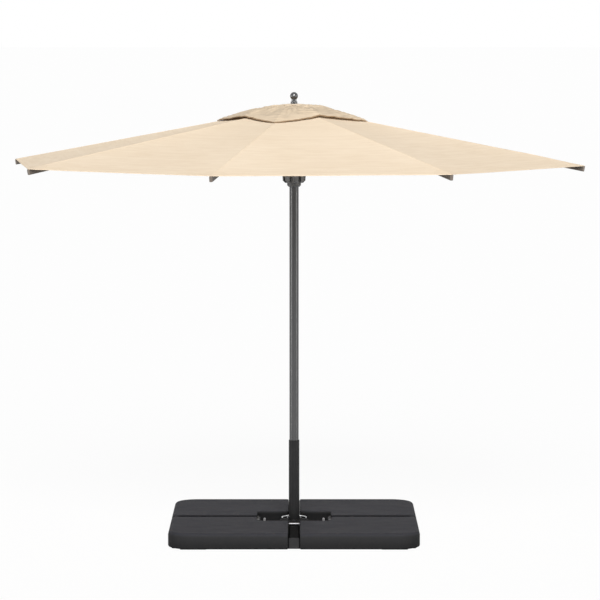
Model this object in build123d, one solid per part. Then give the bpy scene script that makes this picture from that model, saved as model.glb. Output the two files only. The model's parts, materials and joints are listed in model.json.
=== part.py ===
from build123d import *
import math
import os

# A vented market umbrella on a square ballast base, in millimetres, +Z up.
# The mast stands on the Z axis and the floor is z = 0. The front is -Y.
# It is modelled open. Azimuths run from -Y towards +X.

# Clearances
pin_clearance = 0.05
running_clearance = 0.1
sliding_clearance = 0.3
slot_clearance = 0.5
seat_gap = 0.3

# Ballast base
base_side = 1270.0
tank_gap = 60.0
tank_height = 80.0
tank_wall = 4.0
tank_outer_corner_r = 120.0
tank_inner_corner_r = 12.0
tank_top_edge_r = 20.0
tank_bottom_edge_r = 9.0
tank_inner_edge_r = 6.0
well_half_x = 192.0
well_half_y = 176.0
well_corner_r = 36.0
foot_length = 135.0
foot_width = 50.0
foot_inset = 20.0
foot_from_corner = 130.0
foot_corner_r = 12.0
fill_hole_r = 17.0
fill_plug_length = 16.0
fill_cap_r = 23.0
fill_cap_thickness = 9.0
fill_grip_height = 6.0
fill_grip_width = 8.0
fill_grip_length = 36.0

# Cross frame under and between the tanks
strip_width = 150.0
strip_thickness = 3.0
strip_end_inset = 10.0
bar_width = 54.0
bar_height = 54.0
bar_wall = 3.0
bar_corner_r = 6.0
bar_half_length = 600.0
end_cap_flange = 6.0
end_cap_edge_r = 2.0
end_plug_length = 24.0

# Bright fastenings of the base
bow_rod_r = 6.0
bow_distance = 153.0
ring_rod_r = 3.0
ring_radius = 62.0
ring_height = 12.0
flange_bolt_r = 8.0
flange_bolt_height = 5.5
flange_bolt_circle_r = 48.0

# Socket of the mast
socket_od = 55.0
socket_top_z = 479.0
flange_r = 75.0
flange_thickness = 6.0
flange_edge_r = 2.0
boss_r = 11.0
boss_length = 15.0
clamp_below_top = 46.0
clamp_screw_r = 5.0
knob_r = 20.0
knob_lobe_r = 9.0
knob_lobes = 5
knob_thickness = 16.0
knob_neck_r = 12.0
knob_neck_length = 5.0
knob_edge_r = 3.0

# Mast
mast_od = 48.0
mast_wall = 2.0

# Canopy plan and ribs
rib_count = 8
first_rib_azimuth = -15.05
tip_radius = 1514.0
rib_slope = 10.6
rib_width = 16.0
rib_height = 28.0
rib_wall = 1.8
rib_corner_r = 3.0
rib_plug_length = 30.0
tip_cap_length = 6.0
tip_cap_edge_r = 2.0

# Crown hub
crown_pivot_r = 52.0
crown_pivot_z = 2174.0
crown_half_height = 16.0
crown_rim = 9.5
crown_rim_edge_r = 3.0
crown_skirt_length = 34.0
crown_skirt_wall = 10.0
crown_boss_r = 28.0
crown_boss_height = 25.5
mast_top_inset = 10.0
tongue_width = 8.0
tongue_eye_r = 11.0
rib_root = 22.0
hinge_pin_r = 3.0
crown_pin_length = 24.0

# Strut bracket under each rib
strut_seat = 722.0
bracket_drop = 26.0
bracket_length = 46.0
bracket_top = 9.0
bracket_plate = 3.0
bracket_eye_r = 10.0
pin_head_r = 5.0
pin_head = 2.0
rivet_head_r = 3.5
rivet_head = 1.5
rivet_spacing = 28.0

# Struts
strut_width = 14.0
strut_height = 18.0
strut_wall = 1.5
strut_edge_r = 1.2
cross_pin_r = 4.0
cross_pin_overhang = 5.0

# Runner
runner_ring_above = 21.0
runner_ring_below = 46.5
runner_rim_top = 9.5
runner_rim_taper = 3.0
runner_rim_bevel = 3.0
runner_foot_bevel = 12.0
runner_collar_wall = 11.7
runner_collar_length = 21.0
runner_collar_bevel = 8.0

# Catch button in the mast, under the runner
button_r = 5.0
button_reach = 7.0
button_tip_r = 2.0
button_head_r = 7.0
button_head_thickness = 3.0
button_inner_length = 4.0

# Canopy cloth
cloth_thickness = 1.0
ridge_gap = 0.8
seam_half_gap = 0.3
main_inner_r = 235.0
vent_inner_r = 58.0
vent_corner_r = 400.0
vent_bulge = 17.0
vent_arch = 28.0
vent_sections = 6
vent_columns = 4
top_cap_r = 74.0
top_cap_drop = 4.0
top_cap_thickness = 1.5

# Finial
finial_stud_r = 5.0
finial_stud_length = 40.0
finial_flange_r = 17.5
finial_flange_thickness = 12.0
finial_flange_edge_r = 3.0
finial_neck_r = 13.0
finial_neck_length = 7.0
finial_ball_r = 20.5

# Heights and places that follow from the sizes above
tank_bottom_z = strip_thickness
bar_middle_z = strip_thickness + bar_height / 2
bar_top_z = strip_thickness + bar_height
socket_floor_z = bar_top_z + flange_thickness
socket_bore_r = mast_od / 2 + sliding_clearance
mast_bottom_z = socket_floor_z + seat_gap
clamp_z = socket_top_z - clamp_below_top
boss_end_y = socket_od / 2 + boss_length
bow_bend_r = bar_corner_r + seat_gap + bow_rod_r
crown_top_z = crown_pivot_z + crown_half_height
crown_boss_top_z = crown_top_z + crown_boss_height
finial_seat_z = crown_boss_top_z + top_cap_thickness
mast_top_z = crown_top_z - mast_top_inset

slope = math.radians(rib_slope)
half_gore = math.radians(180 / rib_count)
rib_end = (tip_radius - crown_pivot_r) / math.cos(slope) - tip_cap_length
lever = math.hypot(strut_seat, bracket_drop)
lever_slope = rib_slope + math.degrees(math.atan2(bracket_drop, strut_seat))
strut_pivot_r = crown_pivot_r + lever * math.cos(math.radians(lever_slope))
strut_pivot_z = crown_pivot_z - lever * math.sin(math.radians(lever_slope))
runner_pivot_z = 2 * strut_pivot_z - crown_pivot_z
runner_bottom_z = runner_pivot_z - runner_ring_below - runner_collar_length
button_z = runner_bottom_z - seat_gap - button_r

# Undersides of the cloth: a ridge over each rib, all meeting on the mast axis
ridge_height = rib_height / 2 + ridge_gap
apex_z = crown_pivot_z + crown_pivot_r * math.tan(slope) + ridge_height / math.cos(slope)
ridge_tan = math.tan(slope)


def along_x(profile, start, length):
    return extrude(Plane.YZ.offset(start) * profile, amount=length)


def across_y(profile, half_width):
    return extrude(Plane.XZ * profile, amount=half_width, both=True)


def either_side(profile, inner, outer):
    return across_y(profile, outer) - across_y(profile, inner)


def standing(radius, bottom, height):
    return Pos(0, 0, bottom) * Cylinder(radius, height, align=(Align.CENTER, Align.CENTER, Align.MIN))


def turned(points):
    # a solid of revolution about Z from its (radius, height) outline
    outline = make_face(Polyline(*[(r, 0, z) for r, z in points], close=True))
    return revolve(outline, Axis.Z)


def at_azimuth(azimuth):
    return Rot(0, 0, azimuth - 90)


def rib_place(azimuth):
    return at_azimuth(azimuth) * Pos(crown_pivot_r, 0, crown_pivot_z) * Rot(0, rib_slope, 0)


def strut_place(azimuth):
    return at_azimuth(azimuth) * Pos(strut_pivot_r, 0, strut_pivot_z) * Rot(0, 180 - lever_slope, 0)


def rib_azimuths():
    return [first_rib_azimuth + 360 / rib_count * k for k in range(rib_count)]


# Tanks

def tank_block(inset):
    near = tank_gap / 2 + inset
    far = base_side / 2 - inset
    well_x = well_half_x + inset
    well_y = well_half_y + inset
    corners = [(well_x, near), (far, near), (far, far), (near, far), (near, well_y), (well_x, well_y)]
    radii = [tank_inner_corner_r - inset] * len(corners)
    radii[2] = tank_outer_corner_r - inset
    radii[5] = well_corner_r + inset
    outline = make_face(Polyline(*corners, close=True))
    for index in (0, 2, 4, 5):
        vertex = outline.vertices().sort_by_distance((*corners[index], 0))[0]
        outline = fillet(vertex, radii[index])
    height = tank_height - 2 * inset
    block = Pos(0, 0, tank_bottom_z + inset) * extrude(outline, amount=height)
    # the outer sides and their corner roll over in a wide rounding
    for end, radius in ((-1, tank_top_edge_r), (0, tank_bottom_edge_r)):
        rim = block.faces().filter_by(Axis.Z).sort_by(Axis.Z)[end].edges()
        block = fillet([edge for edge in rim if is_outside(edge)], radius - inset)
    return block


def is_outside(shape):
    middle = shape.center()
    return max(middle.X, middle.Y) > base_side / 2 - tank_outer_corner_r


def inner_edges(block):
    # the edges round the walls along the gaps and the well, without the seams between those walls
    walls = [face for face in block.faces() if abs(face.normal_at().Z) < 0.01 and not is_outside(face)]
    edges = [edge for wall in walls for edge in wall.edges()]
    return [edge for edge in edges if edges.count(edge) == 1]


def fill_hole_place():
    # on the wall of the well that faces the mast along X
    middle_y = (tank_gap / 2 + well_half_y) / 2
    return Pos(well_half_x, middle_y, tank_bottom_z + tank_height / 2)


def tank():
    body = tank_block(0)
    body = fillet(inner_edges(body), tank_inner_edge_r)
    body -= tank_block(tank_wall)
    hole = along_x(Circle(fill_hole_r), -tank_wall, 3 * tank_wall)
    body -= fill_hole_place() * hole
    # moulded feet by the outer corner, where the tank isn't carried by the frame's strips
    beside = base_side / 2 - foot_inset - foot_width / 2
    along = base_side / 2 - foot_from_corner
    foot = extrude(RectangleRounded(foot_length, foot_width, foot_corner_r), amount=tank_bottom_z)
    body += Pos(along, beside, 0) * foot
    body += Pos(beside, along, 0) * Rot(0, 0, 90) * foot
    return body


def fill_cap():
    plug = along_x(Circle(fill_hole_r - running_clearance), -seat_gap, fill_plug_length + seat_gap)
    disc = along_x(Circle(fill_cap_r), -seat_gap - fill_cap_thickness, fill_cap_thickness)
    grip_start = -seat_gap - fill_cap_thickness - fill_grip_height
    grip = along_x(Rectangle(fill_grip_width, fill_grip_length), grip_start, fill_grip_height)
    return fill_hole_place() * (plug + disc + grip)


# Cross frame

def crossed(profile, half_length):
    bar = along_x(profile, -half_length, 2 * half_length)
    return bar + Rot(0, 0, 90) * bar


def cross_frame():
    outer = RectangleRounded(bar_width, bar_height, bar_corner_r)
    bars = crossed(outer, bar_half_length) - crossed(bar_bore(0), bar_half_length)
    strip = Box(2 * (bar_half_length - strip_end_inset), strip_width, strip_thickness)
    strips = Pos(0, 0, strip_thickness / 2) * (strip + Rot(0, 0, 90) * strip)
    return Pos(0, 0, bar_middle_z) * bars + strips


def bar_bore(clearance):
    inset = 2 * (bar_wall + clearance)
    return RectangleRounded(bar_width - inset, bar_height - inset, bar_corner_r - bar_wall)


def frame_end_cap():
    flange = along_x(RectangleRounded(bar_width, bar_height, bar_corner_r), bar_half_length, end_cap_flange)
    flange = fillet(flange.faces().sort_by(Axis.X)[-1].edges(), end_cap_edge_r)
    plug = along_x(bar_bore(running_clearance), bar_half_length - end_plug_length, end_plug_length)
    return Pos(0, 0, bar_middle_z) * (flange + plug)


# Socket, its clamp and the bright fastenings

def socket_tube():
    flange = standing(flange_r, bar_top_z, flange_thickness)
    flange = fillet(flange.edges().sort_by(Axis.Z)[-1], flange_edge_r)
    sleeve = standing(socket_od / 2, socket_floor_z, socket_top_z - socket_floor_z)
    boss = Pos(0, 0, clamp_z) * Rot(0, 0, 90) * along_x(Circle(boss_r), 0, boss_end_y)
    body = flange + sleeve + boss
    body -= standing(socket_bore_r, socket_floor_z, socket_top_z)
    screw_hole = along_x(Circle(clamp_screw_r + running_clearance), 0, boss_end_y)
    return body - Pos(0, 0, clamp_z) * Rot(0, 0, 90) * screw_hole


def clamp_knob():
    screw_start = mast_od / 2 + seat_gap
    neck_start = boss_end_y + seat_gap
    knob_start = neck_start + knob_neck_length
    screw = along_x(Circle(clamp_screw_r), screw_start, knob_start - screw_start)
    neck = along_x(Circle(knob_neck_r), neck_start, knob_neck_length)
    star = Circle(knob_r)
    star += PolarLocations(knob_r - knob_edge_r, knob_lobes) * Circle(knob_lobe_r)
    head = along_x(star, knob_start, knob_thickness)
    head = fillet(head.faces().sort_by(Axis.X)[-1].edges(), knob_edge_r)
    return Pos(0, 0, clamp_z) * Rot(0, 0, 90) * (screw + neck + head)


def arm_bow():
    # a U-bolt over the arm that runs along +X, standing on the frame's strips
    leg_y = bar_width / 2 + seat_gap + bow_rod_r
    crest_z = bar_top_z + seat_gap + bow_rod_r
    points = [(-leg_y, strip_thickness), (-leg_y, crest_z), (leg_y, crest_z), (leg_y, strip_thickness)]
    path = FilletPolyline(*[(bow_distance, y, z) for y, z in points], radius=bow_bend_r)
    return sweep(Plane(origin=path @ 0, z_dir=path % 0) * Circle(bow_rod_r), path=path)


def foot_ring():
    # a half ring behind the socket, standing on the flange on two short legs
    half = revolve(Plane.XZ * Pos(ring_radius, 0) * Circle(ring_rod_r), Axis.Z, 180)
    ring = Pos(0, 0, socket_floor_z + ring_height) * half
    for side in (-1, 1):
        ring += Pos(side * ring_radius, 0, 0) * standing(ring_rod_r, socket_floor_z, ring_height)
        ring += Pos(side * ring_radius, 0, socket_floor_z + ring_height) * Sphere(ring_rod_r)
    return ring


def flange_bolt():
    head = extrude(RegularPolygon(flange_bolt_r, 6), amount=flange_bolt_height)
    return Pos(flange_bolt_circle_r, 0, socket_floor_z) * head


# Mast, crown and finial

def mast_tube():
    outer = standing(mast_od / 2, mast_bottom_z, mast_top_z - mast_bottom_z)
    bore = standing(mast_od / 2 - mast_wall, mast_bottom_z, mast_top_z - mast_bottom_z)
    button_hole = along_x(Circle(button_r + running_clearance), 0, mast_od)
    return outer - bore - Pos(0, 0, button_z) * Rot(0, 0, 90) * button_hole


def crown_hub():
    bore_r = mast_od / 2 + pin_clearance
    rim_r = crown_pivot_r + crown_rim
    skirt_r = mast_od / 2 + crown_skirt_wall
    bottom_z = crown_pivot_z - crown_half_height
    hub = standing(rim_r, bottom_z, 2 * crown_half_height)
    hub = fillet(hub.edges().filter_by(GeomType.CIRCLE), crown_rim_edge_r)
    hub += standing(skirt_r, bottom_z - crown_skirt_length, crown_skirt_length)
    hub += standing(crown_boss_r, crown_top_z, crown_boss_height)
    hub -= standing(bore_r, bottom_z - crown_skirt_length, mast_top_z - bottom_z + crown_skirt_length)
    hub -= standing(finial_stud_r + running_clearance, bottom_z, crown_boss_top_z - bottom_z)
    slot_start = crown_pivot_r - tongue_eye_r - slot_clearance
    slot_width = tongue_width + 2 * slot_clearance
    slot = along_x(Rectangle(slot_width, 2 * rib_root + crown_half_height), slot_start, rim_r)
    pin_hole = Pos(crown_pivot_r, 0, 0) * across_y(
        Circle(hinge_pin_r + pin_clearance), crown_pin_length / 2 + pin_clearance
    )
    for azimuth in rib_azimuths():
        hub -= at_azimuth(azimuth) * Pos(0, 0, crown_pivot_z) * slot
        hub -= at_azimuth(azimuth) * Pos(0, 0, crown_pivot_z) * pin_hole
    return hub


def crown_pin(azimuth):
    pin = across_y(Circle(hinge_pin_r), crown_pin_length / 2)
    return at_azimuth(azimuth) * Pos(crown_pivot_r, 0, crown_pivot_z) * pin


def finial():
    flange_top = finial_seat_z + finial_flange_thickness
    ball_middle = flange_top + finial_neck_length + finial_ball_r
    shape = standing(finial_stud_r, finial_seat_z - finial_stud_length, finial_stud_length)
    flange = standing(finial_flange_r, finial_seat_z, finial_flange_thickness)
    shape += fillet(flange.edges().sort_by(Axis.Z)[-1], finial_flange_edge_r)
    shape += standing(finial_neck_r, flange_top, ball_middle - flange_top)
    return shape + Pos(0, 0, ball_middle) * Sphere(finial_ball_r)


def catch_button():
    inner_r = mast_od / 2 - mast_wall - button_inner_length
    tip = mast_od / 2 + button_reach
    stem = along_x(Circle(button_r), inner_r, tip - inner_r)
    stem = fillet(stem.edges().sort_by(Axis.X)[-1], button_tip_r)
    head = along_x(Circle(button_head_r), inner_r - button_head_thickness, button_head_thickness)
    return Pos(0, 0, button_z) * Rot(0, 0, 90) * (stem + head)


def runner():
    bore_r = mast_od / 2 + sliding_clearance
    rim_r = crown_pivot_r + runner_rim_top
    collar_r = mast_od / 2 + runner_collar_wall
    top = runner_ring_above
    bottom = -runner_ring_below
    foot = bottom - runner_collar_length
    body = turned([
        (bore_r, foot),
        (collar_r - runner_collar_bevel, foot),
        (collar_r, foot + runner_collar_bevel),
        (collar_r, bottom),
        (rim_r - runner_rim_taper - runner_foot_bevel, bottom),
        (rim_r - runner_rim_taper, bottom + runner_foot_bevel),
        (rim_r, top - runner_rim_bevel),
        (rim_r - runner_rim_bevel, top),
        (bore_r, top),
    ])
    height = 2 * (top - bottom)
    slot_start = crown_pivot_r - strut_height / 2 - slot_clearance
    slot = along_x(Rectangle(strut_width + 2 * slot_clearance, height), slot_start, rim_r)
    pocket_width = strut_width + 2 * cross_pin_overhang + 2 * slot_clearance
    pocket_start = crown_pivot_r - cross_pin_r - slot_clearance
    pocket = along_x(Rectangle(pocket_width, height), pocket_start, 2 * (cross_pin_r + slot_clearance))
    for azimuth in rib_azimuths():
        body -= at_azimuth(azimuth) * Pos(0, 0, top) * (slot + pocket)
    return Pos(0, 0, runner_pivot_z) * body


# Ribs, their fittings and the struts

def rib_bore(clearance):
    inset = 2 * (rib_wall + clearance)
    return RectangleRounded(rib_width - inset, rib_height - inset, rib_corner_r - rib_wall)


def rib():
    section = RectangleRounded(rib_width, rib_height, rib_corner_r) - rib_bore(0)
    return along_x(section, rib_root, rib_end - rib_root)


def crown_tongue():
    eye = Circle(tongue_eye_r) + Pos(rib_root / 2, 0) * Rectangle(rib_root, 2 * tongue_eye_r)
    blade = across_y(eye, tongue_width / 2)
    plug = along_x(rib_bore(running_clearance), rib_root, rib_plug_length)
    return blade + plug - across_y(Circle(hinge_pin_r + pin_clearance), tongue_width)


def strut_bracket():
    # two riveted cheeks under the rib, with the pin that the strut turns on
    half_outer = rib_width / 2 + bracket_plate
    pivot = Pos(strut_seat, -bracket_drop)
    depth = bracket_top + rib_height / 2
    upper = Pos(strut_seat, bracket_top - depth / 2) * Rectangle(bracket_length, depth)
    eye = pivot * Circle(bracket_eye_r)
    profile = make_hull(upper.edges() + eye.edges())
    bracket = either_side(profile, rib_width / 2, half_outer)
    bracket += across_y(pivot * Circle(hinge_pin_r), half_outer)
    bracket += either_side(pivot * Circle(pin_head_r), half_outer, half_outer + pin_head)
    for place in (-rivet_spacing / 2, rivet_spacing / 2):
        rivet = Pos(strut_seat + place, 0) * Circle(rivet_head_r)
        bracket += either_side(rivet, half_outer, half_outer + rivet_head)
    return bracket


def tip_plug():
    cap = along_x(RectangleRounded(rib_width, rib_height, rib_corner_r), rib_end, tip_cap_length)
    cap = fillet(cap.faces().sort_by(Axis.X)[-1].edges(), tip_cap_edge_r)
    return cap + along_x(rib_bore(running_clearance), rib_end - rib_plug_length, rib_plug_length)


def strut():
    span = Pos(lever / 2, 0) * SlotCenterToCenter(lever, strut_height)
    tube = across_y(span, strut_width / 2)
    tube = fillet(tube.faces().filter_by(Axis.Y).edges(), strut_edge_r)
    hollow = Rectangle(strut_width - 2 * strut_wall, strut_height - 2 * strut_wall)
    tube -= along_x(hollow, -strut_height, lever + 2 * strut_height)
    tube -= across_y(Circle(hinge_pin_r + pin_clearance), strut_width)
    cross_pin = across_y(Circle(cross_pin_r), strut_width / 2 + cross_pin_overhang)
    return tube + Pos(lever, 0, 0) * cross_pin


# Canopy cloth, one half gore on the +azimuth side of its rib

def main_half_gore():
    ridge = Vector(math.cos(slope), 0, -math.sin(slope))
    middle = Vector(
        math.cos(half_gore) ** 2,
        math.cos(half_gore) * math.sin(half_gore),
        -ridge_tan,
    ).normalized()
    cloth = Plane(origin=(0, 0, apex_z), x_dir=ridge, z_dir=ridge.cross(middle))
    spread = math.asin(math.sin(half_gore) * math.cos(slope))

    def edge(radius):
        # the ends of a line across the half gore, clear of the ridge and of the gore's middle
        length = radius / math.cos(slope)
        width = length * math.sin(spread)
        inward = Vector(-math.sin(spread), math.cos(spread), 0)
        tip = Vector(length, 0, 0)
        near = tip + inward * (seam_half_gap / math.cos(spread))
        far = tip + inward * (width - seam_half_gap)
        return near, far

    near_in, far_in = edge(main_inner_r)
    near_out, far_out = edge(tip_radius)
    outline = make_face(Polyline(near_in, near_out, far_out, far_in, close=True))
    return extrude(cloth * outline, amount=cloth_thickness)


def vent_half_panel():
    # the top tier: a low dome that is sewn down at its corners and arches open between them
    corner_z = apex_z - vent_corner_r * ridge_tan + cloth_thickness / math.cos(slope) + seat_gap
    cap_fall = top_cap_drop * vent_inner_r / top_cap_r
    inner_z = finial_seat_z - top_cap_thickness - cap_fall - seat_gap - cloth_thickness
    sections = []
    for row in range(vent_sections):
        f = row / (vent_sections - 1)
        radius = vent_inner_r + (vent_corner_r - vent_inner_r) * f
        ridge_z = inner_z + (corner_z - inner_z) * f + vent_bulge * 4 * f * (1 - f)
        start = Vector(radius, 0, ridge_z)
        reach = radius * math.sin(half_gore)
        inward = Vector(-math.sin(half_gore), math.cos(half_gore), 0)
        clear = seam_half_gap / math.cos(half_gore)
        under = []
        for column in range(vent_columns):
            g = column / (vent_columns - 1)
            lift = vent_arch * f * f * g * (2 - g)
            across = clear + (reach - seam_half_gap - clear) * g
            under.append(start + inward * across + Vector(0, 0, lift))
        over = [point + Vector(0, 0, cloth_thickness) for point in reversed(under)]
        sections.append(make_face(Polyline(*under, *over, close=True)))
    return loft(sections, ruled=True)


def canopy_half(azimuth, side):
    pieces = [main_half_gore(), vent_half_panel()]
    if side == "left":
        pieces = [mirror(piece, about=Plane.XZ) for piece in pieces]
    return [at_azimuth(azimuth) * piece for piece in pieces]


def canopy_top_cap():
    hole_r = finial_stud_r + running_clearance
    outline = [
        (hole_r, finial_seat_z - top_cap_thickness),
        (crown_boss_r, finial_seat_z - top_cap_thickness),
        (top_cap_r, finial_seat_z - top_cap_thickness - top_cap_drop),
        (top_cap_r, finial_seat_z - top_cap_drop),
        (crown_boss_r, finial_seat_z),
        (hole_r, finial_seat_z),
    ]
    return turned(outline)


def build_nodes():
    quarter_turns = [Rot(0, 0, 90 * k) for k in range(4)]
    nodes = {
        "cross_frame": [cross_frame()],
        "frame_end_caps": [turn * frame_end_cap() for turn in quarter_turns],
        "socket_tube": [socket_tube()],
        "clamp_knob": [clamp_knob()],
        "base_fastenings": [foot_ring()]
        + [turn * arm_bow() for turn in quarter_turns]
        + [turn * flange_bolt() for turn in quarter_turns],
        "mast_tube": [mast_tube()],
        "crown_hub": [crown_hub()],
        "crown_pins": [crown_pin(azimuth) for azimuth in rib_azimuths()],
        "finial": [finial()],
        "canopy_top_cap": [canopy_top_cap()],
        "catch_button": [catch_button()],
        "runner": [runner()],
    }
    # one tank and its cap are modelled in the +X +Y quarter and mirrored into the others
    for name, piece in (("tank", tank()), ("fill_cap", fill_cap())):
        front = mirror(piece, about=Plane.XZ)
        nodes[f"{name}_back_right"] = [piece]
        nodes[f"{name}_back_left"] = [mirror(piece, about=Plane.YZ)]
        nodes[f"{name}_front_right"] = [front]
        nodes[f"{name}_front_left"] = [mirror(front, about=Plane.YZ)]
    fittings = [crown_tongue(), strut_bracket(), tip_plug()]
    for number, azimuth in enumerate(rib_azimuths(), 1):
        nodes[f"rib_{number}"] = [rib_place(azimuth) * rib()]
        nodes[f"rib_fittings_{number}"] = [rib_place(azimuth) * piece for piece in fittings]
        nodes[f"strut_{number}"] = [strut_place(azimuth) * strut()]
        for side in ("left", "right"):
            nodes[f"canopy_{number}_{side}"] = canopy_half(azimuth, side)
    return nodes


os.makedirs("parts", exist_ok=True)
for node, pieces in build_nodes().items():
    solids = [solid for piece in pieces for solid in piece.solids()]
    export_step(Compound(children=solids), f"parts/{node}.step")
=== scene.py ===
import json
import math

import bmesh
import bpy
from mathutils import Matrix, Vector

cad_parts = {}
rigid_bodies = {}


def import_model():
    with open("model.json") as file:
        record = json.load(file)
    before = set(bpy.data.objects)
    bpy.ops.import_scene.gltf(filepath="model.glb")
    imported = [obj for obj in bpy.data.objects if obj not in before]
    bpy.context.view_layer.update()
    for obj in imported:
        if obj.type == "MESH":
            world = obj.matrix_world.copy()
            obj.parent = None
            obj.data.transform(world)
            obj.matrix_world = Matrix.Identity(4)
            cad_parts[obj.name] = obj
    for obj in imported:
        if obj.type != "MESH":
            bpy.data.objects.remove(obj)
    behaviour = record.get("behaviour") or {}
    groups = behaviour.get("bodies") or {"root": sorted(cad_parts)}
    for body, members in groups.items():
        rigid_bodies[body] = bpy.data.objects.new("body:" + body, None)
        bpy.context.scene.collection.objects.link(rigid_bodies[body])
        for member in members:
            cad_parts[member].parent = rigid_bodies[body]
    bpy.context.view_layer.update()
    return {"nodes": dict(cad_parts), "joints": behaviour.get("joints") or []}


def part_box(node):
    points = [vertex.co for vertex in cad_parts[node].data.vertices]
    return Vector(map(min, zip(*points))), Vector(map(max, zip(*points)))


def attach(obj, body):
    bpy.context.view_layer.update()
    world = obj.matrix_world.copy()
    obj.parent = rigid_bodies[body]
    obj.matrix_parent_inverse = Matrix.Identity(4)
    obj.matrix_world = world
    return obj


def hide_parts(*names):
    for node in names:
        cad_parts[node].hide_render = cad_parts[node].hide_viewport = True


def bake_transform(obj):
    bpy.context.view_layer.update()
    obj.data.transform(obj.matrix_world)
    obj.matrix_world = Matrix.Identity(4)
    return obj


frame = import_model()
nodes = frame["nodes"]
joints = {joint["name"]: joint for joint in frame["joints"]}

ribCount = 8
halfGore = math.pi / ribCount
sharpAngle = math.radians(40)
toRight, toBack, toTop = (Vector(axis) for axis in ((1, 0, 0), (0, 1, 0), (0, 0, 1)))


class Wire:
    # one output socket; sums on it add Math nodes to its tree
    def __init__(self, tree, socket=None):
        self.tree = tree
        self.socket = socket

    def node(self, kind, settings=None, sockets=None, out=0):
        made = self.tree.nodes.new(kind)
        for name, value in (settings or {}).items():
            setattr(made, name, value)
        for key, value in (sockets or {}).items():
            if isinstance(value, Wire):
                self.tree.links.new(value.socket, made.inputs[key])
            else:
                made.inputs[key].default_value = value
        return Wire(self.tree, made.outputs[out])

    def other(self, out):
        # another output of the same node
        return Wire(self.tree, self.socket.node.outputs[out])

    def math(self, operation, *values):
        return self.node("ShaderNodeMath", {"operation": operation}, dict(enumerate(values)))

    def vector(self, operation, *values, out=0):
        return self.node("ShaderNodeVectorMath", {"operation": operation}, dict(enumerate(values)), out)

    def scaled(self, factor):
        return self.node("ShaderNodeVectorMath", {"operation": "SCALE"}, {0: self, "Scale": factor})

    def __add__(self, value):
        return self.math("ADD", self, value)

    def __sub__(self, value):
        return self.math("SUBTRACT", self, value)

    def __rsub__(self, value):
        return self.math("SUBTRACT", value, self)

    def __mul__(self, value):
        return self.math("MULTIPLY", self, value)

    def __pow__(self, value):
        return self.math("POWER", self, value)

    __radd__ = __add__
    __rmul__ = __mul__

    def sine(self):
        return self.math("SINE", self)

    def cosine(self):
        return self.math("COSINE", self)

    def smooth(self, low, high):
        # 0 below low, 1 above high
        ends = {"From Min": low, "From Max": high, "Value": self}
        return self.node("ShaderNodeMapRange", {"interpolation_type": "SMOOTHSTEP"}, ends)


# Finishes

def newFinish(name, **constants):
    material = bpy.data.materials.new(name)
    material.use_nodes = True
    shader = material.node_tree.nodes["Principled BSDF"]
    for socket, value in constants.items():
        shader.inputs[socket.replace("_", " ")].default_value = value
    return material, Wire(material.node_tree), shader


def plug(shader, socket, wire):
    wire.tree.links.new(wire.socket, shader.inputs[socket])


def mixColour(factor, low, high):
    sockets = {0: factor}
    for index, colour in ((6, low), (7, high)):
        sockets[index] = colour if isinstance(colour, Wire) else (*colour, 1)
    return factor.node("ShaderNodeMix", {"data_type": "RGBA"}, sockets, out=2)


def shaded(colour, share):
    return tuple(channel * share for channel in colour)


def objectPlace(wire):
    return wire.node("ShaderNodeTexCoord", out=3)


def heightOf(vector):
    return vector.node("ShaderNodeSeparateXYZ", None, {0: vector}, out=2)


def stretched(place, scale):
    return place.node("ShaderNodeMapping", None, {"Vector": place, "Scale": scale})


def noise(place, scale, detail=3.0, roughness=0.55):
    sockets = {"Vector": place, "Scale": scale, "Detail": detail, "Roughness": roughness}
    return place.node("ShaderNodeTexNoise", None, sockets)


def faceNormal(wire):
    return wire.node("ShaderNodeNewGeometry", out=1)


def onFloor(place):
    return place.vector("MULTIPLY", place, (1, 1, 0))


def fromMast(place):
    flat = onFloor(place)
    return flat.vector("LENGTH", flat, out=1)


def facesOut(place):
    # 1 where a face looks away from or towards the mast, 0 on the walls of radial slots
    flat = onFloor(place)
    away = flat.vector("NORMALIZE", flat)
    share = away.vector("DOT_PRODUCT", away, faceNormal(place), out=1)
    return share.math("ABSOLUTE", share)


def bump(height, strength, distance):
    sockets = {"Strength": strength, "Distance": distance, "Height": height}
    return height.node("ShaderNodeBump", None, sockets)


clothLook = {
    "deep": (0.850, 0.688, 0.500),
    "pale": (0.950, 0.798, 0.612),
    "roughness": 0.80,
    "slubRoughness": 0.16,
    "sheen": 0.05,
    "sheenRoughness": 0.5,
    "threadPitch": 0.0012,
    # slubs in the weft, along the hem, and in the warp, down the slope: how many per metre each way
    "weftScale": (110.0, 9.0, 1.0),
    "warpScale": (7.0, 190.0, 1.0),
    "weftShare": 0.75,
    "slubRange": (0.35, 0.75),
    "slubTone": 0.20,
    "threadTone": 0.10,
    # pale streaks down the slope and slow clouds share the main tone
    "streakScale": (30.0, 5.0, 1.0),
    "streakRange": (0.25, 0.75),
    "cloudScale": 3.2,
    "cloudRange": (0.3, 0.7),
    "cloudShare": 0.30,
    # painted shade: deeper towards the crown, under the vent, and in the valleys of the gathers and the
    # troughs of the ripples
    "crownShadeRadii": (0.30, 0.90),
    "crownShadeShare": 0.32,
    "crownShade": 0.93,
    "foldShadeShare": 0.6,
    "valleyShade": 0.45,
    "threadRelief": 0.35,
    "slubRelief": 0.9,
    "bump": (0.22, 0.0005),
}
# the vent's cloth is a darker copy of the canopy's: painted shade for its many small folds
ventShadeTint = (0.80, 0.785, 0.76)
# the binding is darkened: partly its own brown, partly painted shade for the shadow line under the vent's hem
bindingShadeTint = (0.36, 0.30, 0.24)


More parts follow.
